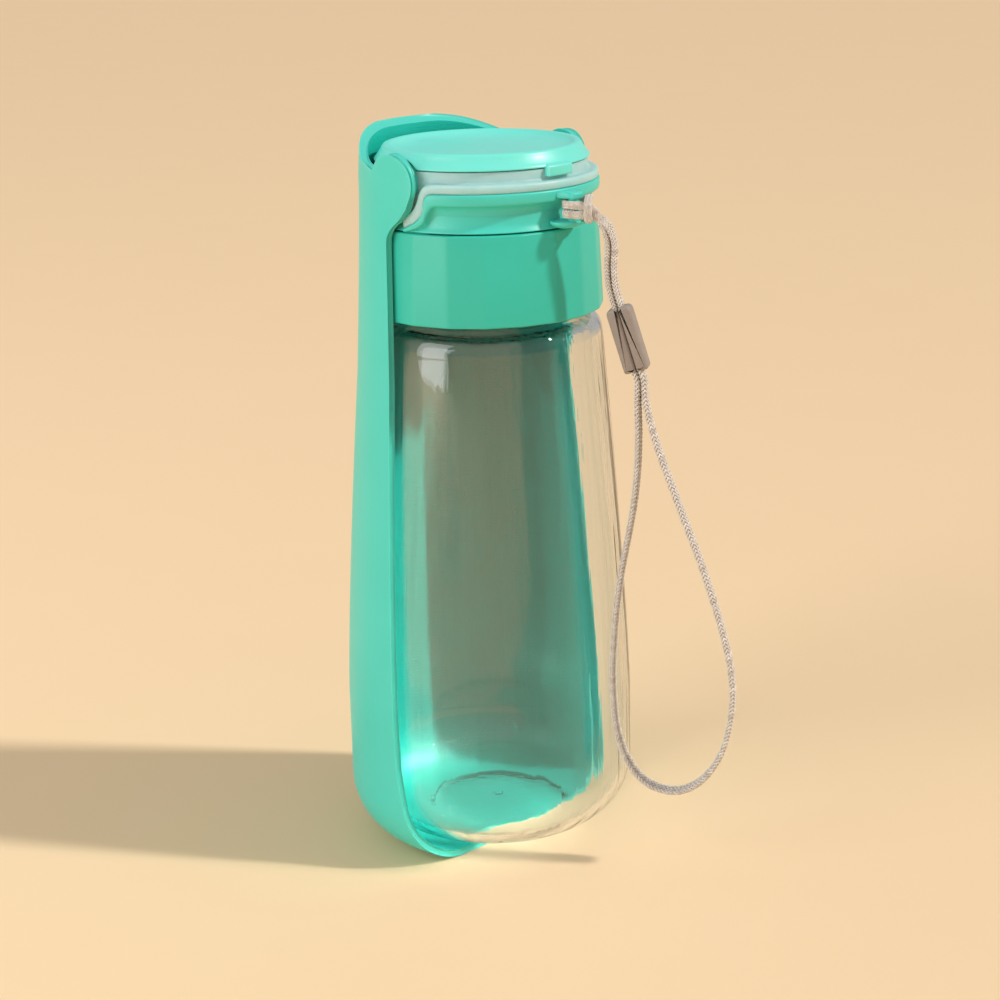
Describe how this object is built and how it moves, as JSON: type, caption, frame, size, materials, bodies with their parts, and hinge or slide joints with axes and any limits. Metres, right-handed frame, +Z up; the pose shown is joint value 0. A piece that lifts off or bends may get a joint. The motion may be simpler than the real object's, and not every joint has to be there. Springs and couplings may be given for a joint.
{
  "type": "dog travel water bottle",
  "caption": "Clear travel bottle with a hinged lid, a locking collar, a drinking trough that swings over the mouth, and a braided hand strap.",
  "frame": {"origin": "on the bottle's axis, at the flat underside of the trough that the object stands on", "axes": "+Z up along the bottle's axis, +X towards the strap post and the lid's tab, the trough stands at -X"},
  "size_m": [0.1185, 0.0874, 0.2123],
  "materials": {
    "clear_bottle": "clear moulded copolyester",
    "mint_plastic": "satin moulded polypropylene",
    "trough_plastic": "satin moulded polypropylene",
    "lid_plastic": "satin moulded polypropylene",
    "clear_insert": "natural moulded polypropylene",
    "soft_seal": "translucent silicone",
    "oring_rubber": "moulded rubber",
    "steel_pin": "turned",
    "braid": "flat herringbone braid",
    "clamp_rubber": "moulded soft plastic"
  },
  "bodies": {
    "root": {"bottle_body": "clear_bottle", "neck_gasket": "soft_seal", "head_shell": "mint_plastic", "pour_tube": "clear_insert", "seal_skirt": "soft_seal", "pivot_oring_left": "oring_rubber", "pivot_oring_right": "oring_rubber", "strap_hitch": "braid", "strap_loop": "braid", "clamp_half_left": "clamp_rubber", "clamp_half_right": "clamp_rubber"},
    "collar": {"lock_collar": "mint_plastic"},
    "lid": {"lid_cap": "lid_plastic", "lid_liner": "clear_insert", "lid_plug": "soft_seal", "lid_hinge_pin": "steel_pin"},
    "trough": {"trough_shell": "trough_plastic", "pivot_pin_left": "steel_pin", "pivot_pin_right": "steel_pin"}
  },
  "joints": [
    {"name": "trough_swing", "type": "hinge", "parent": "root", "child": "trough", "pos_m": [0, 0, 0.20005], "axis": [0, 1, 0], "range_deg": [0, 155]},
    {"name": "lid_open", "type": "hinge", "parent": "root", "child": "lid", "pos_m": [-0.0264, 0, 0.20475], "axis": [0, -1, 0], "range_deg": [0, 50]},
    {"name": "collar_turn", "type": "hinge", "parent": "root", "child": "collar", "pos_m": [0, 0, 0.1744], "axis": [0, 0, 1], "range_deg": [0, 60]}
  ]
}
